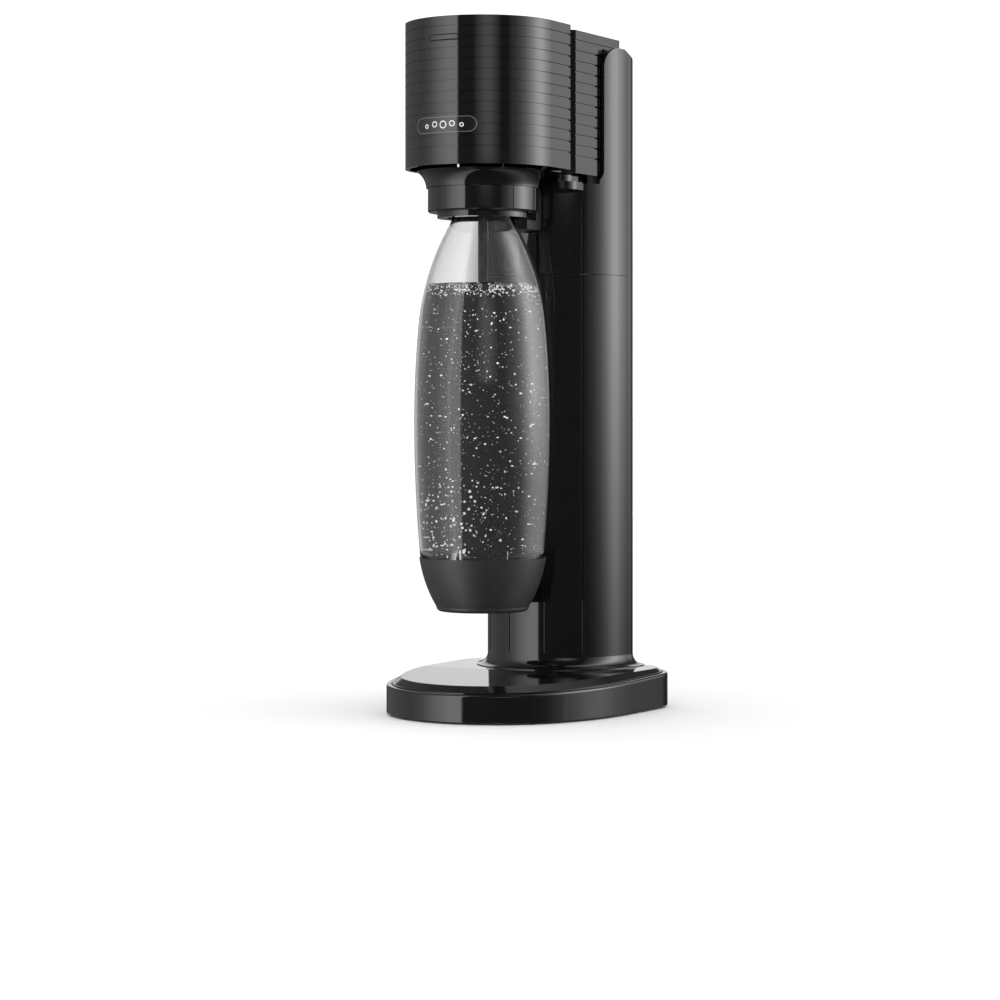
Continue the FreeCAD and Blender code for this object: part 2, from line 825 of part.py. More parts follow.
def carbonating_block():
    body = new_body("carbonating_block")
    low, top = S.head_bottom, S.overall_height
    ceiling = top - S.block_wall
    pad(body, "XY", low, top - low, block_outline(size(0)))
    ribs(body, block_outline)
    plain_patch(body, rib_level(S.pill_rib), S.pill_width / 2 + S.inlay_margin)
    plain_patch(body, rib_level(S.badge_rib), S.badge_width / 2 + S.inlay_margin)
    cut(body, "XY", low - 1, ceiling - low + 1, block_outline(S.block_wall))
    slot = box(-S.head_window, S.block_rear - S.block_wall - 1, S.head_window, S.block_rear + 1)
    cut(body, "XY", low - 1, S.head_window_top - low + 1, slot)
    rim = S.head_nose + 1
    relief = box(-rim, S.block_rear - S.block_wall - 1, rim, S.block_rear + 1)
    cut(body, "XY", low - 1, S.block_travel + 0.6, relief)
    post_bottom = S.lever_level + S.lever_thickness / 2 + S.press_gap
    sleeve = S.lever_level + S.lever_thickness / 2
    rings = []
    for x in (-S.guide_reach, S.guide_reach):
        rings += [circle(x, 0, S.guide_radius + 3), circle(x, 0, S.guide_radius + S.running)]
    pad(body, "XY", sleeve, ceiling - sleeve, *rings)
    pad(body, "XY", post_bottom, ceiling - post_bottom, circle(0, S.post_reach, S.post_radius))


def curved_inlay(label, level, width, height):
    """A pill-shaped plaque, bent round the block's front and standing a little proud of it."""
    body = new_body(label)
    inner, outer = S.block_radius, S.block_radius + S.inlay_proud
    low = level - height / 2
    pad(body, "XY", low, height, circle(0, 0, outer), circle(0, 0, inner))
    cut(body, "XY", low - 1, height + 2, box(-70, 0, 70, 70))
    cut(body, "XZ", 0, 70, box(-70, low - 5, 70, low + height + 5), pill(0, level, width, height))


def head_rear_shell():
    body = new_body("head_rear_shell")
    low, top = S.head_bottom, S.overall_height
    pad(body, "XY", low, top - low, head_outline(size(0)))
    ribs(body, head_outline)
    cut(body, "XY", low - 1, top - S.head_wall - low + 1, head_outline(S.head_wall))
    way = box(-S.head_window, S.block_rear - 1, S.head_window, S.block_rear + 6)
    cut(body, "XY", low - 1, S.head_window_top - low + 1, way)
    rear_way = box(-S.deck_half, S.head_rear - 5, S.deck_half, S.head_rear + 2)
    cut(body, "XY", low - 1, S.head_window_top - 6 - low, rear_way)


def head_sill():
    body = new_body("head_sill")
    plate = rounded_box(-34, S.shelf_front + 2, 34, S.arch_front - 6, 10)
    pad(body, "XY", S.shelf_top, S.head_bottom - S.shelf_top, plate)
    well = circle(0, S.column_axis, S.column_radius - 3)
    cut(body, "XY", S.shelf_top - 1, S.head_bottom, well)


def head_frame():
    body = new_body("head_frame")
    narrow, wide = S.deck_half, S.frame_side_outer
    rear = S.lever_pivot + 4
    step = S.head_front + S.head_chamfer + 3
    deck = loop([
        (-narrow, S.deck_front), (narrow, S.deck_front), (narrow, step), (wide, step), (wide, rear),
        (-wide, rear), (-wide, step), (-narrow, step),
    ])
    deck_top = S.deck_level + S.deck_thickness
    pad(body, "XY", S.deck_level, S.deck_thickness, deck)
    front, back = S.frame_side_front, S.frame_side_rear
    sides = [box(S.frame_side_inner, front, wide, back), box(-wide, front, -S.frame_side_inner, back)]
    pad(body, "XY", S.frame_side_bottom, S.deck_level - S.frame_side_bottom, *sides)
    ear = S.hub_radius + 3.5
    ears = [box(ear, -8, ear + 4, 8), box(-ear - 4, -8, -ear, 8)]
    pad(body, "XY", S.holder_pivot - 8, S.deck_level - S.holder_pivot + 8, *ears)
    cut(body, "YZ", -30, 60, circle(0, S.holder_pivot, S.holder_pin_radius))
    lugs = [box(side * 9.5 - 1.5, S.lever_pivot - 5, side * 9.5 + 1.5, S.lever_pivot + 4)
            for side in (-1, 1)]
    pad(body, "XY", deck_top, S.lever_level + 6 - deck_top, *lugs)
    cut(body, "YZ", -30, 60, circle(S.lever_pivot, S.lever_level, S.lever_pin_radius))
    holes = [circle(x, 0, S.guide_radius) for x in (-S.guide_reach, S.guide_reach)]
    holes.append(circle(0, S.cylinder_axis, S.valve_pin_radius + 0.4))
    cut(body, "XY", S.deck_level - 1, S.deck_thickness + 2, *holes)
    holes = [circle(y, z, 1.6) for y, z in FRAME_SCREWS]
    cut(body, "YZ", -wide - 1, 2 * wide + 2, *holes)


def frame_screws():
    body = new_body("frame_screws")
    shanks = [circle(y, z, S.screw_radius - 0.02) for y, z in FRAME_SCREWS]
    heads = [circle(y, z, 2.8) for y, z in FRAME_SCREWS]
    inner = S.frame_side_inner
    pad(body, "YZ", inner, 9.5, *shanks)
    pad(body, "YZ", inner - 1.3, 1.3, *heads)
    pad(body, "YZ", -inner - 9.5, 9.5, *shanks)
    pad(body, "YZ", -inner, 1.3, *heads)


def cross_pin(label, y, z, radius, half):
    """A plain round pin lying across the machine."""
    body = new_body(label)
    pad(body, "YZ", -half, 2 * half, circle(y, z, radius - 0.01))
    return body


def holder_pin():
    body = cross_pin("holder_pin", 0, S.holder_pivot, S.holder_pin_radius, S.holder_pin_half)
    cut(body, "YZ", 0, S.holder_pin_half + 1, circle(0, S.holder_pivot, 1.2))


def guide_rods():
    body = new_body("guide_rods")
    rods = [circle(x, 0, S.guide_radius - 0.01) for x in (-S.guide_reach, S.guide_reach)]
    top = S.lever_level + S.lever_thickness / 2 + S.block_travel
    pad(body, "XY", S.deck_level, top - S.deck_level, *rods)


def finished(label, shape):
    """A piece whose shape is made by sweeping, placed like the others."""
    piece = doc.addObject("Part::Feature", label)
    piece.Label = label
    piece.Shape = shape
    bind(piece, "Placement.Base.y", S.bottle_setback - S.base_depth / 2)
    PARTS.append(piece)


def return_springs():
    wire_radius = SIZES["spring_wire"] / 2
    coil = SIZES["guide_radius"] + 2.1
    low = SIZES["deck_level"] + SIZES["deck_thickness"] + wire_radius
    height = SIZES["lever_level"] + SIZES["lever_thickness"] / 2 - low - wire_radius
    coils = []
    for x in (-SIZES["guide_reach"], SIZES["guide_reach"]):
        helix = Part.makeHelix(height / SIZES["spring_turns"], height, coil)
        section = Part.Wire(Part.makeCircle(wire_radius, FreeCAD.Vector(coil, 0, 0),
                                            FreeCAD.Vector(0, 1, 0)))
        spring = Part.Wire(helix).makePipeShell([section], True, True)
        spring.translate(FreeCAD.Vector(x, 0, low))
        coils.append(spring)
    finished("return_springs", Part.makeCompound(coils))


def press_lever():
    body = new_body("press_lever")
    half = S.lever_width / 2
    low, top = S.lever_level - S.lever_thickness / 2, S.lever_level + S.lever_thickness / 2
    front = S.post_reach - S.post_radius - 1.5
    pad(body, "YZ", -half, S.lever_width, box(front, low, S.lever_pivot, top))
    pad(body, "YZ", -half, S.lever_width, circle(S.lever_pivot, S.lever_level, 5))
    bore = circle(S.lever_pivot, S.lever_level, S.lever_pin_radius + S.running)
    cut(body, "YZ", -half - 1, S.lever_width + 2, bore)


def valve_pin():
    body = new_body("valve_pin")
    top = S.lever_level - S.lever_thickness / 2 - S.press_gap
    low = S.valve_stem_top + 1.3
    pad(body, "XY", low, top - low, circle(0, S.cylinder_axis, S.valve_pin_radius))


# ---------------------------------------------------------------- gas

def valve_block():
    body = new_body("valve_block")
    half, axis, low = S.valve_half, S.cylinder_axis, S.valve_bottom
    pad(body, "XY", low, S.deck_level - low, rounded_box(-half, axis - 17, half, axis + 17, 4))
    pad(body, "YZ", -half - 7, 2 * half + 14, circle(axis, S.lock_level, S.lock_stud_radius))
    socket_top = S.valve_stem_top + 0.9
    cut(body, "XY", low - 1, socket_top - low + 1, circle(0, axis, S.valve_stem_radius + S.clearance))
    cut(body, "XY", low + 2, 2, circle(0, axis, S.valve_stem_radius + 2))
    cut(body, "XY", low, S.deck_level - low + 1, circle(0, axis, S.valve_pin_radius + S.running))


def inlet_seal():
    body = new_body("inlet_seal")
    ring = circle(0, S.cylinder_axis, S.valve_stem_radius + 2)
    bore = circle(0, S.cylinder_axis, S.valve_stem_radius + S.running)
    pad(body, "XY", S.valve_bottom + 2, 2, ring, bore)


def relief_valve():
    body = new_body("relief_valve")
    face = S.cylinder_axis - 17
    pad(body, "XZ", -face, 3, circle(-9, S.valve_bottom + 16, 5))
    pad(body, "XZ", -face + 3, 9, circle(-9, S.valve_bottom + 16, 3.6))


def hose_route():
    """The gas hose from the valve block's front face to the elbow on the holder's pin."""
    face = SIZES["cylinder_axis"] - 17
    across = SIZES["holder_pin_half"] + 4
    low = SIZES["holder_pivot"]
    high = SIZES["valve_bottom"] + 8
    return [(10, face, high), (10, face - 20, high), (across, 30, low), (across, 4, low)]


def swept_tube(route, radius, bend):
    """A round tube along straight runs joined by tangent arcs."""
    points = [FreeCAD.Vector(*p) for p in route]
    edges = []
    start = points[0]
    for before, corner, after in zip(points, points[1:], points[2:]):
        back = (before - corner).normalize()
        ahead = (after - corner).normalize()
        half_turn = (math.pi - back.getAngle(ahead)) / 2
        trim = bend * math.tan(half_turn)
        first, last = corner + back * trim, corner + ahead * trim
        middle = (back + ahead).normalize()
        arc_centre = corner + middle * (bend / math.cos(half_turn))
        crown_point = arc_centre - middle * bend
        edges.append(Part.makeLine(start, first))
        edges.append(Part.Arc(first, crown_point, last).toShape())
        start = last
    edges.append(Part.makeLine(start, points[-1]))
    path = Part.Wire(edges)
    direction = points[1] - points[0]
    section = Part.Wire(Part.makeCircle(radius, points[0], direction))
    return path.makePipeShell([section], True, False)


def gas_hose():
    finished("gas_hose", swept_tube(hose_route(), SIZES["hose_radius"], 15))


def hose_ferrules():
    body = new_body("hose_ferrules")
    start, end = hose_route()[0], hose_route()[-1]
    bore = S.hose_radius + 0.02
    for (x, y, z), lead in ((start, 0), (end, -6)):
        rings = (circle(x, z, bore + 1.2), circle(x, z, bore))
        pad(body, "XZ", -y + lead, 6, *rings)


def hose_elbow():
    body = new_body("hose_elbow")
    low = S.holder_pivot - 4
    end = S.holder_pin_half
    pad(body, "XY", low, 8, box(end, -4, end + 8, 4))


def gas_cylinder():
    body = new_body("gas_cylinder", y=S.cylinder_axis)
    foot, shoulder, neck = S.cylinder_foot, S.cylinder_shoulder, S.cylinder_neck
    radius, wall = S.cylinder_radius, S.cylinder_wall
    inside = radius - wall
    throat = S.cylinder_neck_radius
    turn(body, loop([
        (0, foot),
        (radius - 6, foot),
        (radius, foot + 6, 6),
        (radius, shoulder),
        (throat, neck, 28),
        (throat, neck + 6),
        (5, neck + 6),
        (5, neck - 3),
        (inside, shoulder - 1, -28),
        (inside, foot + 7),
        (inside - 4, foot + 3, -4),
        (0, foot + 3),
    ]))


def cylinder_valve():
    body = new_body("cylinder_valve", y=S.cylinder_axis)
    seat = S.cylinder_neck + 6
    stem = S.valve_stem_radius
    turn(body, loop([
        (0, seat - 6), (4.95, seat - 6), (4.95, seat), (11, seat), (11, seat + 21), (13, seat + 21),
        (13, seat + 25), (9, seat + 27), (9, seat + 35), (stem, seat + 37), (stem, S.valve_stem_top),
        (0, S.valve_stem_top),
    ]))


def cylinder_seat():
    body = new_body("cylinder_seat", y=S.cylinder_axis)
    top = S.cylinder_foot - S.cylinder_travel - S.clearance
    outer = S.column_back - S.column_wall - S.cylinder_axis - 0.5
    turn(body, loop([
        (12, S.plate_level), (outer, S.plate_level), (outer, top - 1), (outer - 1, top), (12, top),
    ]))


def lock_lever():
    body = new_body("lock_lever")
    axis, level = S.cylinder_axis, S.lock_level
    inner = S.valve_half + 2.3
    arm = loop([
        (axis - 3.6, level - 1.7), (axis + 3.6, level + 1.7), (axis + 28.4, level - 49),
        (axis + 22, level - 52),
    ])
    for start in (inner, -inner - 3.4):
        pad(body, "YZ", start, 3.4, circle(axis, level, 6.5))
        pad(body, "YZ", start, 3.4, arm)
    grip = rounded_box(axis + 22, level - 55, axis + 28.4, level - 36, 2.5)
    pad(body, "YZ", -inner - 3.4, 2 * inner + 6.8, grip)
    bore = circle(axis, level, S.lock_stud_radius + S.running)
    cut(body, "YZ", -inner - 4, 2 * inner + 8, bore)


# ---------------------------------------------------------------- bottle holder

def holder_collar():
    body = new_body("holder_collar")
    rim, top, low = S.collar_radius, S.collar_top, S.ring_top
    ceiling = S.neck_top + 2
    nozzle_end = S.holder_pivot - 8
    turn(body, loop([
        (S.nozzle_radius, ceiling),
        (S.ring_bore, ceiling),
        (S.ring_bore, low),
        (S.ring_radius + 1, low),
        (rim, top, -12.6),
        (S.hub_radius, top),
        (S.hub_radius, S.holder_pivot + 12),
        (0, S.holder_pivot + 12),
        (0, nozzle_end),
        (S.nozzle_radius, nozzle_end),
    ]))
    bore = circle(0, S.holder_pivot, S.holder_pin_radius + S.running)
    cut(body, "YZ", -S.hub_radius - 1, 2 * S.hub_radius + 2, bore)


def holder_ring():
    body = new_body("holder_ring")
    low, top, radius = S.ring_bottom, S.ring_top - 0.2, S.ring_radius
    turn(body, loop([
        (S.ring_bore, low), (radius - 1, low), (radius, low + 1), (radius, top), (S.ring_bore, top),
    ]))
    seams = []
    for angle in (63, 95, -63, -95):
        x, y = math.sin(math.radians(angle)), -math.cos(math.radians(angle))
        seams.append(circle(radius * x, radius * y, 0.35))
    cut(body, "XY", low - 1, top - low + 2, *seams)


def holder_jaw():
    body = new_body("holder_jaw")
    rings = circle(0, 0, S.jaw_radius), circle(0, 0, S.throat_radius + 1.2)
    pad(body, "XY", S.ring_bottom - S.jaw_thickness, S.jaw_thickness, *rings)


def nozzle_tube():
    body = new_body("nozzle_tube")
    top = S.holder_pivot - 8
    rings = circle(0, 0, S.nozzle_radius - 0.01), circle(0, 0, S.nozzle_radius - 1)
    pad(body, "XY", S.nozzle_bottom, top - S.nozzle_bottom, *rings)


def nozzle_tip():
    body = new_body("nozzle_tip")
    top, radius = S.nozzle_bottom, S.nozzle_radius
    turn(body, loop([(0.5, top - 8), (1.4, top - 8), (radius, top - 4), (radius, top), (0.5, top)]))


def bottle_seal():
    body = new_body("bottle_seal")
    rings = circle(0, 0, S.neck_radius), circle(0, 0, S.nozzle_radius + 1)
    pad(body, "XY", S.neck_top + S.clearance, 2 - S.clearance, *rings)


def holder_catch():
    body = new_body("holder_catch")
    claw_top = S.ring_bottom - S.jaw_thickness + 1
    back = S.column_axis - S.column_radius - 0.5
    front = S.ring_radius + 2
    side = loop([
        (front, claw_top - 6), (back, claw_top - 6), (back, S.shelf_bottom),
        (back - 7, S.shelf_bottom), (back - 7, claw_top), (front, claw_top),
    ])
    pad(body, "YZ", -12, 24, side)


# ---------------------------------------------------------------- bottle

def belly_curve(radius_drop, height):
    """Radius of the side curve that is upright at the belly and comes in by radius_drop."""
    return (radius_drop * radius_drop + height * height) / (2 * radius_drop)


def bottle_body():
    body = new_body("bottle_body")
    wall, lip = S.bottle_wall, S.cup_top + 0.2
    belly, shoulder, throat, neck = S.belly_radius, S.shoulder_radius, S.throat_radius, S.neck_radius
    foot = S.bottle_foot + 3
    lower = belly_curve(belly - S.bottle_low_radius, S.belly_level - lip)
    upper = belly_curve(belly - shoulder, S.shoulder_level - S.belly_level)
    turn(body, loop([
        (0, foot),
        (25.5, foot),
        (S.bottle_low_radius - 2, lip - 2, 80),
        (S.bottle_low_radius - 1, lip),
        (S.bottle_low_radius, lip),
        (belly, S.belly_level, lower),
        (shoulder, S.shoulder_level, upper),
        (throat, S.throat_level, S.shoulder_curve),
        (neck, S.neck_start, -S.neck_curve),
        (neck, S.neck_top - 9),
        (neck + 2, S.neck_top - 8),
        (neck + 2, S.neck_top - 6),
        (neck, S.neck_top - 6),
        (neck, S.neck_top),
        (neck - wall, S.neck_top),
        (neck - wall, S.neck_start),
        (throat - wall, S.throat_level, S.neck_curve),
        (shoulder - wall, S.shoulder_level, -S.shoulder_curve),
        (belly - wall, S.belly_level, -upper),
        (S.bottle_low_radius - wall, lip, -lower),
        (S.bottle_low_radius - 2 - wall, lip - 2),
        (25.5 - wall, foot + wall, -80),
        (0, foot + wall),
    ]))


def bottle_base_cup():
    body = new_body("bottle_base_cup")
    foot, top = S.bottle_foot, S.cup_top
    outer = S.bottle_low_radius + 0.6
    floor = foot + 3
    turn(body, loop([
        (0, foot + 1.5),
        (20, foot + 1.5),
        (22, foot),
        (26.5, foot),
        (29.5, foot + 3, 3),
        (outer, top, 85),
        (outer - 1.4, top),
        (27.6, floor, -85),
        (0, floor),
    ]))


def check_and_write():
    """Stops on anything failed or invalid, then writes one STEP file for each piece."""
    doc.recompute()
    for item in doc.Objects:
        if "Invalid" in item.State or "Error" in item.State:
            raise RuntimeError(item.Name + " failed: " + str(item.State))
    os.makedirs("parts", exist_ok=True)
    for piece in PARTS:
        shape = piece.Shape
        if shape.isNull() or not shape.isValid() or not shape.Solids:
            raise RuntimeError(piece.Label + " has no valid solid")
        shape.exportStep("parts/%s.step" % piece.Label)
        print("%-20s %2d solid(s) %9.1f mm3" % (piece.Label, len(shape.Solids), shape.Volume))
    whole = FreeCAD.BoundBox()
    for piece in PARTS:
        whole.add(piece.Shape.BoundBox)
    print("box", whole)


write_sheet()
base_skirt()
base_floor()
rubber_feet()
drip_plate()
screws("base_screws", both_sides(SCREW_PLACES), S.foot_height)
column_lower_shell()
column_upper_shell()
screws("column_screws", both_sides(COLUMN_SCREW_PLACES), S.plate_level - S.plate_thickness)
rear_lower_panel()
rear_cover()
cover_button()
carbonating_block()
curved_inlay("press_mark", rib_level(S.pill_rib), S.pill_width, S.pill_height)
curved_inlay("badge", rib_level(S.badge_rib), S.badge_width, S.badge_height)
head_rear_shell()
head_sill()
head_frame()
frame_screws()
guide_rods()
return_springs()
press_lever()
cross_pin("lever_pin", S.lever_pivot, S.lever_level, S.lever_pin_radius, 11)
valve_pin()
valve_block()
inlet_seal()
relief_valve()
gas_hose()
hose_ferrules()
hose_elbow()
gas_cylinder()
cylinder_valve()
cylinder_seat()
lock_lever()
holder_pin()
holder_collar()
holder_ring()
holder_jaw()
nozzle_tube()
nozzle_tip()
bottle_seal()
holder_catch()
bottle_body()
bottle_base_cup()
check_and_write()
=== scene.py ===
"""Studio scene of a counter-top soda carbonator: glossy black moulding, a clear bottle of fizzing water.

Metres, +Z up, front towards -Y. The camera stands low, to the right of the front. The surroundings
that the gloss mirrors are softboxes painted on the world by direction, as seen from the object.
"""
import json
import math
import random

import bmesh
import bpy
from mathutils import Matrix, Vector

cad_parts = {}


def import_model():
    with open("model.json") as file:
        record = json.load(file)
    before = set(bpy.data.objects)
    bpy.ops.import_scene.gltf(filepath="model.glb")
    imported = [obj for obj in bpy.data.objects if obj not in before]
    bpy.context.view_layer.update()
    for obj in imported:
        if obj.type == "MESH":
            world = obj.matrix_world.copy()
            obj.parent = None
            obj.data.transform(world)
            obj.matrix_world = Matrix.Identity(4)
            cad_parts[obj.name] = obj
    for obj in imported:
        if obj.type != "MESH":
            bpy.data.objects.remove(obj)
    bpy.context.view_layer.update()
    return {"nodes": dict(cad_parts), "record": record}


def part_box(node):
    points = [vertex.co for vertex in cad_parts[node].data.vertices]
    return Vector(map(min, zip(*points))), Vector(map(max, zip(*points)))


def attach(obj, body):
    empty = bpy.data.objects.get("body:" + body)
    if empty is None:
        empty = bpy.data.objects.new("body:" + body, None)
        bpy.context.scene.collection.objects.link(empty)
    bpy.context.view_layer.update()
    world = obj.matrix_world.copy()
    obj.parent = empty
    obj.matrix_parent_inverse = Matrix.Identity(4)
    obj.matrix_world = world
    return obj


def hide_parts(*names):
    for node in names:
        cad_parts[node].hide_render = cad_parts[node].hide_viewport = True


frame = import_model()

MM = 0.001
BOTTLE_Y = -0.0395                    # the bottle's axis, from the origin

# camera
CAMERA_AZIMUTH = math.radians(29.25)
CAMERA_DISTANCE = 1.810               # to the bottle's axis, level
CAMERA_HEIGHT = 0.1945
CAMERA_ASIDE = 0.011                  # optical axis passes this far to the right of the bottle's axis
FOCAL = 2.85                          # in frame widths
HORIZON = 0.410                       # of the frame's height, from its top

TO_CAMERA = Vector((math.sin(CAMERA_AZIMUTH), -math.cos(CAMERA_AZIMUTH), 0.0))
TO_RIGHT = Vector((math.cos(CAMERA_AZIMUTH), math.sin(CAMERA_AZIMUTH), 0.0))


# ---------------------------------------------------------------- node helpers

class Nodes:
    """A short way to build a node tree."""

    def __init__(self, tree):
        self.tree = tree
        self.tree.nodes.clear()

    def add(self, kind, inputs=None, **settings):
        node = self.tree.nodes.new(kind)
        for name, value in settings.items():
            setattr(node, name, value)
        for name, value in (inputs or {}).items():
            if isinstance(value, bpy.types.NodeSocket):
                self.tree.links.new(value, node.inputs[name])
            else:
                node.inputs[name].default_value = value
        return node

    def math(self, operation, a, b=0.0, clamp=False):
        node = self.add("ShaderNodeMath", {0: a, 1: b}, operation=operation, use_clamp=clamp)
        return node.outputs[0]

    def ramp(self, factor, stops, interpolation="LINEAR"):
        node = self.add("ShaderNodeValToRGB", {"Fac": factor})
        ramp = node.color_ramp
        ramp.interpolation = interpolation
        while len(ramp.elements) > 1:
            ramp.elements.remove(ramp.elements[-1])
        for index, (position, value) in enumerate(stops):
            element = ramp.elements[0] if index == 0 else ramp.elements.new(position)
            element.position = position
            colour = value if isinstance(value, tuple) else (value, value, value)
            element.color = (*colour, 1.0)
        return node.outputs["Color"]

    def noise(self, scale, detail=3.0, roughness=0.5, vector=None):
        inputs = {"Scale": scale, "Detail": detail, "Roughness": roughness}
        if vector is not None:
            inputs["Vector"] = vector
        return self.add("ShaderNodeTexNoise", inputs).outputs["Fac"]

    def object_place(self, stretch=(1.0, 1.0, 1.0)):
        place = self.add("ShaderNodeTexCoord").outputs["Object"]
        return self.add("ShaderNodeMapping", {"Vector": place, "Scale": stretch}).outputs["Vector"]

    def range(self, value, low, high):
        node = self.add("ShaderNodeMapRange", {"Value": value, "To Min": low, "To Max": high})
        return node.outputs["Result"]


def new_material(name):
    material = bpy.data.materials.new(name)
    material.use_nodes = True
    return material, Nodes(material.node_tree)


def surface(nodes, shader):
    nodes.add("ShaderNodeOutputMaterial", {"Surface": shader.outputs[0]})


# ---------------------------------------------------------------- materials

def moulded_plastic(name, dark, light, roughness, grain=0.0, grain_scale=2500.0, mottle=180.0):
    """Moulded plastic: slight tone and gloss variation, faint flow ripple, optional fine texture."""
    material, nodes = new_material(name)
    place = nodes.object_place()
    tone = nodes.ramp(nodes.noise(mottle, 4.0, vector=place), [(0.3, dark), (0.7, light)])
    gloss = nodes.range(nodes.noise(60.0, 5.0, 0.65, place), roughness * 0.75, roughness * 1.3)
    ripple = nodes.noise(35.0, 2.0, vector=place)
    bump = nodes.add("ShaderNodeBump", {"Height": ripple, "Strength": 0.02, "Distance": 0.0004})
    normal = bump.outputs["Normal"]
    if grain:
        texture = nodes.noise(grain_scale, 2.0, vector=place)
        normal = nodes.add("ShaderNodeBump", {"Height": texture, "Strength": grain,
                                              "Distance": 0.00008, "Normal": normal}).outputs["Normal"]
    shader = nodes.add("ShaderNodeBsdfPrincipled", {"Base Color": tone, "Roughness": gloss,
                                                    "IOR": 1.5, "Normal": normal})
    surface(nodes, shader)
    return material


def brushed_metal(name, dark, light, roughness, stretch):
    """Metal with fine lines along one axis."""
    material, nodes = new_material(name)
    place = nodes.object_place(stretch)
    lines = nodes.noise(900.0, 3.0, vector=place)
    tone = nodes.ramp(lines, [(0.25, dark), (0.75, light)])
    gloss = nodes.range(lines, roughness * 0.7, roughness * 1.4)
    bump = nodes.add("ShaderNodeBump", {"Height": lines, "Strength": 0.08, "Distance": 0.0001})
    shader = nodes.add("ShaderNodeBsdfPrincipled", {"Base Color": tone, "Roughness": gloss,
                                                    "Metallic": 1.0, "Normal": bump.outputs["Normal"]})
    surface(nodes, shader)
    return material


def clear_plastic():
    """The bottle's clear wall, with the faintest unevenness of blown plastic."""
    material, nodes = new_material("clear_plastic_blown")
    place = nodes.object_place((1.0, 1.0, 0.4))
    waves = nodes.noise(45.0, 2.0, vector=place)
    bump = nodes.add("ShaderNodeBump", {"Height": waves, "Strength": 0.03, "Distance": 0.0006})
    gloss = nodes.range(nodes.noise(120.0, 3.0, vector=place), 0.0, 0.03)
    tint = nodes.ramp(nodes.noise(8.0, 1.0, vector=place), [(0.0, 0.97), (1.0, 0.99)])
    shader = nodes.add("ShaderNodeBsdfPrincipled", {
        "Base Color": tint, "Roughness": gloss, "IOR": 1.45, "Transmission Weight": 1.0,
        "Normal": bump.outputs["Normal"]})
    surface(nodes, shader)
    return material


def water_material():
    material, nodes = new_material("carbonated_water")
    place = nodes.object_place()
    haze = nodes.ramp(nodes.noise(30.0, 3.0, vector=place), [(0.2, 0.93), (0.8, 0.97)])
    gloss = nodes.range(nodes.noise(90.0, 2.0, vector=place), 0.0, 0.02)
    shader = nodes.add("ShaderNodeBsdfPrincipled", {
        "Base Color": haze, "Roughness": gloss, "IOR": 1.33, "Transmission Weight": 1.0})
    surface(nodes, shader)
    return material


def bubble_material():
    """Gas bubbles read as small bright beads."""
    material, nodes = new_material("gas_bubble")
    place = nodes.object_place()
    tone = nodes.ramp(nodes.noise(700.0, 1.0, vector=place), [(0.3, 0.82), (0.7, 0.97)])
    gloss = nodes.range(nodes.noise(500.0, 1.0, vector=place), 0.15, 0.35)
    shader = nodes.add("ShaderNodeBsdfPrincipled", {"Base Color": tone, "Roughness": gloss, "IOR": 1.33})
    surface(nodes, shader)
    return material


def pill_reach(nodes, place, node):
    """How far a point lies from the middle line of a pill-shaped plaque, seen from the front."""
    low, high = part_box(node)
    half_height = (high[2] - low[2]) / 2
    straight = (high[0] - low[0]) / 2 - half_height
    part = nodes.add("ShaderNodeSeparateXYZ", {"Vector": place})
    past = nodes.math("MAXIMUM", nodes.math("SUBTRACT", nodes.math("ABSOLUTE", part.outputs["X"]), straight))
    z = nodes.math("SUBTRACT", part.outputs["Z"], low[2] + half_height)
    reach = nodes.math("SQRT", nodes.math("ADD", nodes.math("MULTIPLY", past, past),
                                          nodes.math("MULTIPLY", z, z)))
    return part.outputs["X"], z, reach, half_height


def press_mark_material():
    """Gloss like the block's, inside a dull dark rim: painted shade along the slot's edge."""
    material, nodes = new_material("press_mark_shaded_rim")
    place = nodes.add("ShaderNodeTexCoord").outputs["Object"]
    _, _, reach, half_height = pill_reach(nodes, place, "press_mark")
    shaded_rim_width = 0.7 * MM
    shaded_rim = nodes.math("GREATER_THAN", reach, half_height - shaded_rim_width)
    mottle = nodes.noise(180.0, 4.0, vector=place)
    face = nodes.ramp(mottle, [(0.3, 0.0035), (0.7, 0.005)])
    # the rim's darker colour is painted shade along the slot's edge
    tone = nodes.add("ShaderNodeMixRGB", {"Fac": shaded_rim, "Color1": face, "Color2": (0.001, 0.001, 0.001, 1.0)})
    gloss = nodes.math("ADD", nodes.math("MULTIPLY", shaded_rim, 0.75), nodes.range(mottle, 0.045, 0.07))
    shader = nodes.add("ShaderNodeBsdfPrincipled", {"Base Color": tone.outputs["Color"],
                                                    "Roughness": gloss, "IOR": 1.5})
    surface(nodes, shader)
    return material


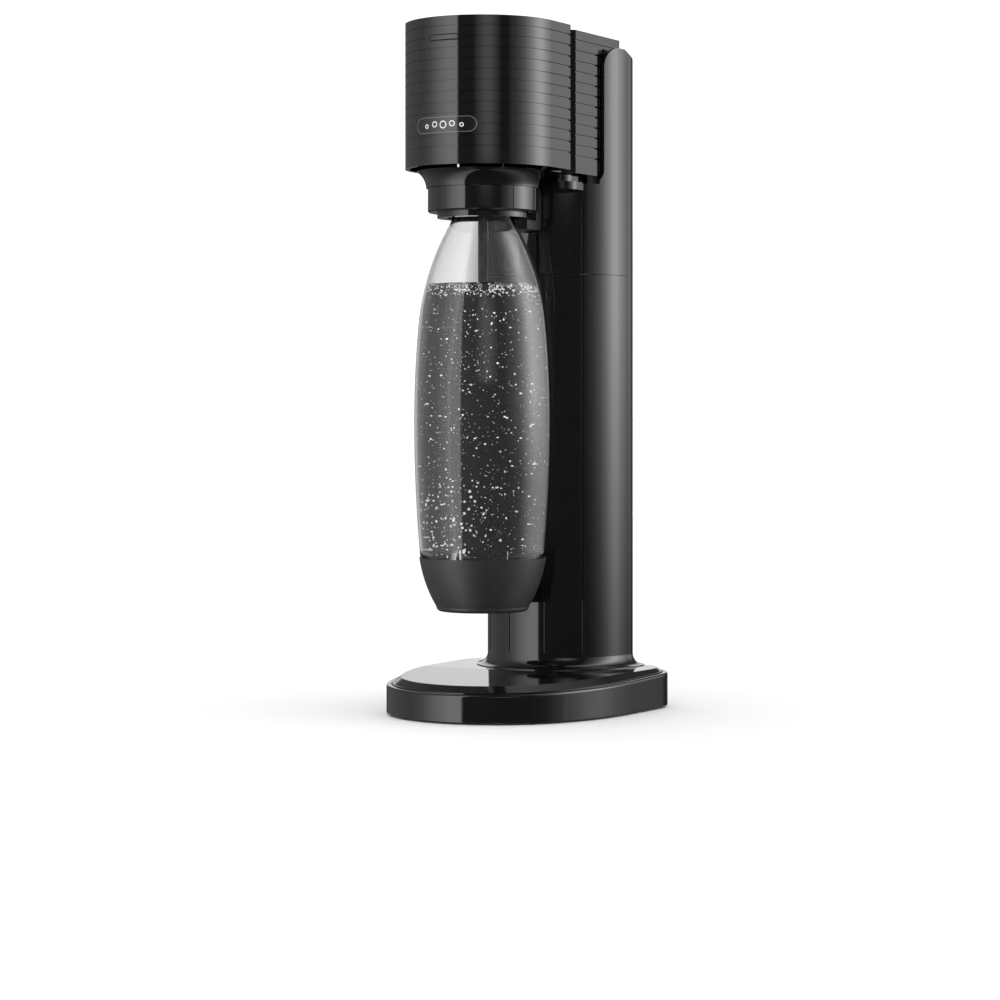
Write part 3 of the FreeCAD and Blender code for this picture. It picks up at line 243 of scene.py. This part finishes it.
def badge_material():
    """Plain black plaque with a faint outline and a row of rings, like rising bubbles."""
    material, nodes = new_material("badge_rings")
    place = nodes.add("ShaderNodeTexCoord").outputs["Object"]
    across, z, reach, half_height = pill_reach(nodes, place, "badge")
    pitch, stroke = 6.2 * MM, 0.3 * MM
    outline_width, faintness = 0.5 * MM, 0.12
    outline = nodes.math("GREATER_THAN", reach, half_height - outline_width)
    rings = nodes.math("MULTIPLY", outline, faintness)
    for column, (radius, lift) in enumerate(((1.1, -0.6), (1.6, 0.4), (2.1, 0.0), (1.6, 0.5), (1.1, -0.4))):
        x = nodes.math("SUBTRACT", across, (column - 2) * pitch)
        dz = nodes.math("SUBTRACT", z, lift * MM)
        off = nodes.math("SQRT", nodes.math("ADD", nodes.math("MULTIPLY", x, x),
                                            nodes.math("MULTIPLY", dz, dz)))
        from_line = nodes.math("ABSOLUTE", nodes.math("SUBTRACT", off, radius * MM))
        ring = nodes.math("LESS_THAN", from_line, stroke)
        rings = nodes.math("MAXIMUM", rings, ring)
    mottle = nodes.noise(300.0, 2.0, vector=place)
    tone = nodes.ramp(mottle, [(0.3, 0.006), (0.7, 0.009)])
    paint = nodes.add("ShaderNodeMixRGB", {"Fac": rings, "Color1": tone, "Color2": (0.8, 0.8, 0.81, 1.0)})
    gloss = nodes.range(mottle, 0.08, 0.14)
    shader = nodes.add("ShaderNodeBsdfPrincipled", {"Base Color": paint.outputs["Color"],
                                                    "Roughness": gloss, "IOR": 1.5})
    surface(nodes, shader)
    return material


GLOSS = moulded_plastic("gloss_black", 0.0035, 0.0050, 0.055)
SATIN = moulded_plastic("satin_black", 0.008, 0.012, 0.32, grain=0.15)
CUP = moulded_plastic("cup_black", 0.015, 0.02, 0.42, grain=0.08)
GREY = moulded_plastic("works_grey", 0.09, 0.13, 0.42, grain=0.12)
RUBBER = moulded_plastic("soft_rubber", 0.012, 0.02, 0.62, grain=0.35, grain_scale=1400.0)
NOZZLE = moulded_plastic("nozzle_smoke", 0.015, 0.03, 0.12)
STEEL = brushed_metal("drawn_steel", 0.48, 0.66, 0.25, (1.0, 1.0, 0.05))
BRASS = brushed_metal("turned_brass", (0.55, 0.36, 0.13), (0.78, 0.56, 0.25), 0.22, (0.2, 0.2, 2.0))
ALUMINIUM = brushed_metal("drawn_aluminium", 0.5, 0.64, 0.34, (1.0, 1.0, 0.04))
CLEAR = clear_plastic()
WATER = water_material()
BUBBLE = bubble_material()
BADGE = badge_material()

FINISHES = {
    "black_gloss": GLOSS, "black_matte": SATIN, "grey_plastic": GREY, "rubber": RUBBER,
    "steel": STEEL, "brass": BRASS, "cylinder_shell": ALUMINIUM, "clear_plastic": CLEAR,
    "badge_print": BADGE,
}
SPECIAL = {
    "bottle_base_cup": CUP, "nozzle_tube": NOZZLE, "nozzle_tip": NOZZLE,
    "press_mark": press_mark_material(), "holder_jaw": GLOSS,
}
SLOT_OF = {part["node"]: part["material_slot"] for part in frame["record"]["subparts"]}


def paint_frame():
    for name, obj in frame["nodes"].items():
        material = SPECIAL.get(name, FINISHES[SLOT_OF[name]])
        slots = obj.material_slots
        if not slots:
            obj.data.materials.append(material)
        for slot in slots:
            slot.link = "OBJECT"
            slot.material = material


paint_frame()

# ---------------------------------------------------------------- bottle and contents

def arc(start, end, radius, steps):
    """Points after start up to end along the short arc; a positive radius bulges to the right of travel."""
    (ax, az), (bx, bz) = start, end
    chord = math.hypot(bx - ax, bz - az)
    rise = math.sqrt(max(radius * radius - chord * chord / 4, 0.0))
    side = 1.0 if radius > 0 else -1.0
    cx = (ax + bx) / 2 - side * rise * (bz - az) / chord
    cz = (az + bz) / 2 + side * rise * (bx - ax) / chord
    first, last = math.atan2(az - cz, ax - cx), math.atan2(bz - cz, bx - cx)
    turn = (last - first + math.pi) % (2 * math.pi) - math.pi
    return [(cx + abs(radius) * math.cos(first + turn * i / steps),
             cz + abs(radius) * math.sin(first + turn * i / steps)) for i in range(1, steps + 1)]


def rise_curve(drop, height):
    """Radius of an arc that is upright at one end and comes in by drop over a height."""
    return (drop * drop + height * height) / (2 * drop)


# The bottle's outline in millimetres: heights, then radii, and the radii of its curves.
LIP, BELLY_Z, SHOULDER_Z, THROAT_Z, NECK_Z, MOUTH_Z = 101.2, 188.0, 250.0, 312.0, 330.4, 341.0
LOW_R, BELLY_R, SHOULDER_R, THROAT_R, NECK_R, WALL = 39.7, 43.5, 40.6, 21.3, 16.5, 1.5
FOOT_R, CUP_FLOOR = 25.5, 70.0
FOOT_CURVE, THROAT_CURVE, NECK_CURVE = 80.0, 157.0, -37.8


def outer_profile():
    """The bottle's outside from its base up to its mouth, as (radius, height) in millimetres."""
    points = [(0.0, CUP_FLOOR), (FOOT_R, CUP_FLOOR)]
    points += arc(points[-1], (LOW_R - 2, LIP - 2), FOOT_CURVE, 8)
    points += [(LOW_R - 1, LIP), (LOW_R, LIP)]
    points += arc(points[-1], (BELLY_R, BELLY_Z), rise_curve(BELLY_R - LOW_R, BELLY_Z - LIP), 16)
    points += arc(points[-1], (SHOULDER_R, SHOULDER_Z),
                  rise_curve(BELLY_R - SHOULDER_R, SHOULDER_Z - BELLY_Z), 12)
    points += arc(points[-1], (THROAT_R, THROAT_Z), THROAT_CURVE, 18)
    points += arc(points[-1], (NECK_R, NECK_Z), NECK_CURVE, 8)
    points += [(NECK_R, MOUTH_Z - 9), (NECK_R + 2, MOUTH_Z - 8), (NECK_R + 2, MOUTH_Z - 6),
               (NECK_R, MOUTH_Z - 6), (NECK_R, MOUTH_Z)]
    return points


def inner_profile(gap):
    """The inside wall up to the mouth, drawn in by a gap."""
    thick = WALL + gap
    points = [(0.0, CUP_FLOOR + thick), (FOOT_R - thick, CUP_FLOOR + thick)]
    points += arc(points[-1], (LOW_R - 2 - thick, LIP - 2), FOOT_CURVE, 8)
    points += [(LOW_R - thick, LIP)]
    points += arc(points[-1], (BELLY_R - thick, BELLY_Z),
                  rise_curve(BELLY_R - LOW_R, BELLY_Z - LIP), 16)
    points += arc(points[-1], (SHOULDER_R - thick, SHOULDER_Z),
                  rise_curve(BELLY_R - SHOULDER_R, SHOULDER_Z - BELLY_Z), 12)
    points += arc(points[-1], (THROAT_R - thick, THROAT_Z), THROAT_CURVE, 18)
    points += arc(points[-1], (NECK_R - thick, NECK_Z), NECK_CURVE, 8)
    points += [(NECK_R - thick, MOUTH_Z)]
    return points


def radius_at(profile, height):
    """Radius of a profile at one height."""
    for (r0, z0), (r1, z1) in zip(profile, profile[1:]):
        if z0 <= height <= z1 and z1 > z0:
            return r0 + (r1 - r0) * (height - z0) / (z1 - z0)
    return 0.0


def lathe(name, profile, material, sides=160):
    """A closed solid turned from a profile whose first and last points lie on the axis, in mm."""
    mesh = bmesh.new()
    rings = []
    for r, z in profile:
        if r == 0.0:
            rings.append([mesh.verts.new((0, BOTTLE_Y, z * MM))])
            continue
        ring = []
        for k in range(sides):
            angle = 2 * math.pi * k / sides
            ring.append(mesh.verts.new((r * MM * math.cos(angle), BOTTLE_Y + r * MM * math.sin(angle),
                                        z * MM)))
        rings.append(ring)
    for low, high in zip(rings, rings[1:]):
        for k in range(sides):
            after = (k + 1) % sides
            if len(low) == 1:
                mesh.faces.new((low[0], high[after], high[k]))
            elif len(high) == 1:
                mesh.faces.new((low[k], low[after], high[0]))
            else:
                mesh.faces.new((low[k], low[after], high[after], high[k]))
    bmesh.ops.recalc_face_normals(mesh, faces=mesh.faces)
    data = bpy.data.meshes.new(name)
    mesh.to_mesh(data)
    mesh.free()
    obj = bpy.data.objects.new(name, data)
    bpy.context.scene.collection.objects.link(obj)
    data.materials.append(material)
    for polygon in data.polygons:
        polygon.use_smooth = True
    return obj


WATER_LEVEL = 274.0
WATER_GAP = 0.08                      # between the water and the wall
LIP_DEPTH = 1.5                       # how far the water's middle lies below its edge
NOZZLE_R = 3.0
NOZZLE_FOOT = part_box("nozzle_tip")[0][2] / MM - 1.0


def build_water():
    """Water up to its level, with a shallow lip where it meets the wall."""
    inside = inner_profile(WATER_GAP)
    surface_level = WATER_LEVEL - LIP_DEPTH
    wall = [(r, z) for r, z in inside if z < surface_level]
    at_wall = radius_at(inside, WATER_LEVEL)
    top = [(at_wall, WATER_LEVEL), (at_wall - 0.8, WATER_LEVEL - 0.9), (at_wall - 2.5, WATER_LEVEL - 1.4)]
    top += [(at_wall * f, surface_level) for f in (0.8, 0.6, 0.4, 0.2)]
    water = lathe("water", wall + top + [(0.0, surface_level)], WATER)
    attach(water, "bottle")


def bubbles():
    """Loose beads in the water, a crust of froth at its surface, and larger ones that cling low down."""
    rng = random.Random(20)
    inside = inner_profile(0.6)
    lowest = 106.0
    beads = []

    def bead(radius, angle, height, size):
        x = radius * math.cos(angle)
        y = radius * math.sin(angle)
        if math.hypot(x, y) > NOZZLE_R + size + 0.3 or height < NOZZLE_FOOT:
            beads.append((x, y, height, size))

    for _ in range(1100):
        height = rng.uniform(lowest, WATER_LEVEL - 5)
        limit = radius_at(inside, height)
        near_wall = rng.random() < 0.5
        radius = limit - rng.uniform(0.4, 1.4) if near_wall else limit * math.sqrt(rng.random()) * 0.95
        bead(radius, rng.uniform(0, 2 * math.pi), height, 0.2 + 0.42 * rng.random() ** 3)
    for _ in range(420):
        height = WATER_LEVEL - 1.9 - 7.0 * rng.random() ** 1.5
        limit = radius_at(inside, height)
        radius = limit * math.sqrt(rng.random()) - 0.6
        bead(max(radius, 5.0), rng.uniform(0, 2 * math.pi), height, 0.2 + 0.4 * rng.random() ** 2)
    for _ in range(90):
        height = lowest + 45.0 * rng.random() ** 1.3
        limit = radius_at(inside, height)
        size = rng.uniform(0.35, 1.0)
        facing = math.radians(rng.gauss(-95.0, 26.0))
        bead(limit - size, facing, height, size)
    return beads


def ball(subdivisions):
    """Corners and faces of a unit ball."""
    mesh = bmesh.new()
    bmesh.ops.create_icosphere(mesh, subdivisions=subdivisions, radius=1.0)
    corners = [v.co.copy() for v in mesh.verts]
    faces = [[v.index for v in f.verts] for f in mesh.faces]
    mesh.free()
    return corners, faces


def build_bubbles():
    coarse, fine = ball(1), ball(2)
    points, polygons = [], []
    for x, y, z, size in bubbles():
        corners, faces = fine if size > 0.45 else coarse
        first = len(points)
        points += [((x + c.x * size) * MM, BOTTLE_Y + (y + c.y * size) * MM, (z + c.z * size) * MM)
                   for c in corners]
        polygons += [[first + i for i in face] for face in faces]
    data = bpy.data.meshes.new("bubbles")
    data.from_pydata(points, [], polygons)
    data.materials.append(BUBBLE)
    for polygon in data.polygons:
        polygon.use_smooth = True
    obj = bpy.data.objects.new("bubbles", data)
    bpy.context.scene.collection.objects.link(obj)
    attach(obj, "bottle")


def build_bottle():
    bottle = lathe("bottle_wall", outer_profile() + inner_profile(0.0)[::-1], CLEAR)
    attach(bottle, "bottle")
    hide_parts("bottle_body")


build_bottle()
build_water()
build_bubbles()


# ---------------------------------------------------------------- studio

def floor():
    size = 60.0
    mesh = bpy.data.meshes.new("floor")
    mesh.from_pydata([(-size, -size, 0), (size, -size, 0), (size, size, 0), (-size, size, 0)], [],
                     [(0, 1, 2, 3)])
    obj = bpy.data.objects.new("floor", mesh)
    bpy.context.scene.collection.objects.link(obj)
    material, nodes = new_material("studio_floor")
    shader = nodes.add("ShaderNodeBsdfPrincipled", {"Base Color": (0.93, 0.93, 0.93, 1.0),
                                                    "Roughness": 0.9})
    surface(nodes, shader)
    mesh.materials.append(material)
    obj.visible_glossy = False
    obj.visible_transmission = False


# Brightness by bearing, in degrees to the right of the camera as seen from the object.
MIRRORED = (
    (-180, 1.15), (-166, 1.0), (-160, 0.15), (-120, 0.44), (-100, 0.57), (-84, 1.04), (-66, 2.4),
    (-50, 3.4), (-38, 3.4), (-36, 0.12), (0, 0.09), (20, 0.08), (38, 0.1), (44, 0.41), (51, 0.63),
    (58, 1.1), (65, 1.7), (73, 2.8), (81, 4.2), (89, 5.6), (98, 5.4), (108, 3.3), (120, 1.6),
    (132, 0.6), (142, 0.12), (160, 0.1), (166, 1.0), (180, 1.15),
)
# A card that only faces turned a little upward mirror.
HIGH_CARD = ((-14, 0.0), (4, 1.25), (11, 1.25), (28, 0.0))
# What shows through the bottle, full and empty.
BEHIND_WATER = ((-180, 0.012), (-162, 0.014), (-153, 0.1), (-137, 0.24), (-100, 0.25), (-60, 0.1),
                (60, 0.1), (140, 0.1), (158, 0.05), (170, 0.02), (180, 0.012))
BEHIND_BOTTLE = ((-180, 0.2), (-179.15, 0.2), (-179.05, 0.85), (-172, 0.85), (-140, 0.3), (60, 0.1),
                 (140, 0.2), (180, 0.2))
# Brightness by the sine of the elevation, as a share of the brightness by bearing.
RIGHT_SIDE_HEIGHT = ((-1.0, 0.1), (-0.3, 0.16), (-0.08, 0.3), (0.038, 1.0), (0.5, 1.1), (0.85, 0.5),
                     (1.0, 0.3))
REAR_HEIGHT = ((-1.0, 0.1), (0.055, 0.14), (0.075, 1.0), (0.6, 1.0), (1.0, 0.4))
OTHER_HEIGHT = ((-1.0, 0.3), (-0.5, 0.7), (-0.2, 1.0), (0.6, 1.0), (0.85, 0.6), (1.0, 0.4))
HIGH_CARD_HEIGHT = ((-1.0, 0.0), (0.074, 0.0), (0.09, 1.0), (0.3, 1.0), (0.5, 0.0))
BRIGHTEST = 5.6
BACKDROP = 1.2
INSIDE_BOTTLE = 3.2                   # what lights the bubbles through the water


def world():
    """White backdrop, and softboxes painted by direction for what is mirrored or seen through the bottle."""
    world = bpy.data.worlds.new("studio")
    bpy.context.scene.world = world
    world.use_nodes = True
    nodes = Nodes(world.node_tree)
    towards = nodes.add("ShaderNodeTexCoord").outputs["Generated"]

    def along(direction):
        return nodes.add("ShaderNodeVectorMath", {0: towards, 1: tuple(direction)},
                         operation="DOT_PRODUCT").outputs["Value"]

    bearing = nodes.math("ARCTAN2", along(TO_RIGHT), along(TO_CAMERA))
    turn = nodes.math("ADD", nodes.math("DIVIDE", bearing, 2 * math.pi), 0.5)
    height = nodes.add("ShaderNodeSeparateXYZ", {"Vector": towards}).outputs["Z"]
    level = nodes.math("ADD", nodes.math("MULTIPLY", height, 0.5), 0.5)

    def round_ramp(stops):
        return nodes.ramp(turn, [((a + 180) / 360, v / BRIGHTEST) for a, v in stops])

    def height_ramp(stops):
        return nodes.ramp(level, [((z + 1) / 2, v / 2) for z, v in stops])

    def blend(factor, first, second):
        return nodes.add("ShaderNodeMixRGB", {"Fac": factor, "Color1": first, "Color2": second}
                         ).outputs["Color"]

    def between(low, high):
        return nodes.math("MULTIPLY", nodes.math("GREATER_THAN", turn, (low + 180) / 360),
                          nodes.math("LESS_THAN", turn, (high + 180) / 360))

    path = nodes.add("ShaderNodeLightPath").outputs
    lift = blend(between(40, 150), height_ramp(OTHER_HEIGHT), height_ramp(RIGHT_SIDE_HEIGHT))
    lift = blend(between(-160, 160), height_ramp(REAR_HEIGHT), lift)
    sides = nodes.math("MULTIPLY", round_ramp(MIRRORED), lift)
    card = nodes.math("MULTIPLY", round_ramp(HIGH_CARD), height_ramp(HIGH_CARD_HEIGHT))
    mirrored = nodes.math("MULTIPLY", nodes.math("ADD", sides, card), 2 * BRIGHTEST)
    empty_bottle_faces = 5.0          # a ray that has passed more of them has been through the water too
    full = nodes.math("GREATER_THAN", path["Transmission Depth"], empty_bottle_faces)
    through = nodes.math("MULTIPLY", blend(full, round_ramp(BEHIND_BOTTLE), round_ramp(BEHIND_WATER)),
                         BRIGHTEST)
    direct = nodes.math("LESS_THAN", path["Diffuse Depth"], 0.5)
    seen_through = nodes.math("MULTIPLY", path["Is Transmission Ray"], direct)
    bounced = nodes.math("SUBTRACT", path["Is Glossy Ray"], path["Is Transmission Ray"], clamp=True)
    outside = blend(bounced, (BACKDROP, BACKDROP, BACKDROP, 1.0), mirrored)
    inside = (INSIDE_BOTTLE, INSIDE_BOTTLE, INSIDE_BOTTLE, 1.0)
    outside = blend(path["Is Transmission Ray"], outside, inside)
    strength = blend(seen_through, outside, through)
    light = nodes.add("ShaderNodeBackground", {"Color": strength, "Strength": 1.0})
    nodes.add("ShaderNodeOutputWorld", {"Surface": light.outputs[0]})


def camera():
    data = bpy.data.cameras.new("camera")
    data.sensor_width = 36.0
    data.lens = FOCAL * data.sensor_width
    data.shift_y = HORIZON - 0.5
    data.clip_end = 200.0
    obj = bpy.data.objects.new("camera", data)
    bpy.context.scene.collection.objects.link(obj)
    bottle = Vector((0.0, BOTTLE_Y, 0.0))
    obj.location = bottle + TO_CAMERA * CAMERA_DISTANCE + TO_RIGHT * CAMERA_ASIDE
    obj.location.z = CAMERA_HEIGHT
    obj.rotation_euler = (math.pi / 2, 0.0, CAMERA_AZIMUTH)
    bpy.context.scene.camera = obj


floor()
world()
camera()
bpy.context.scene.view_settings.view_transform = "Standard"
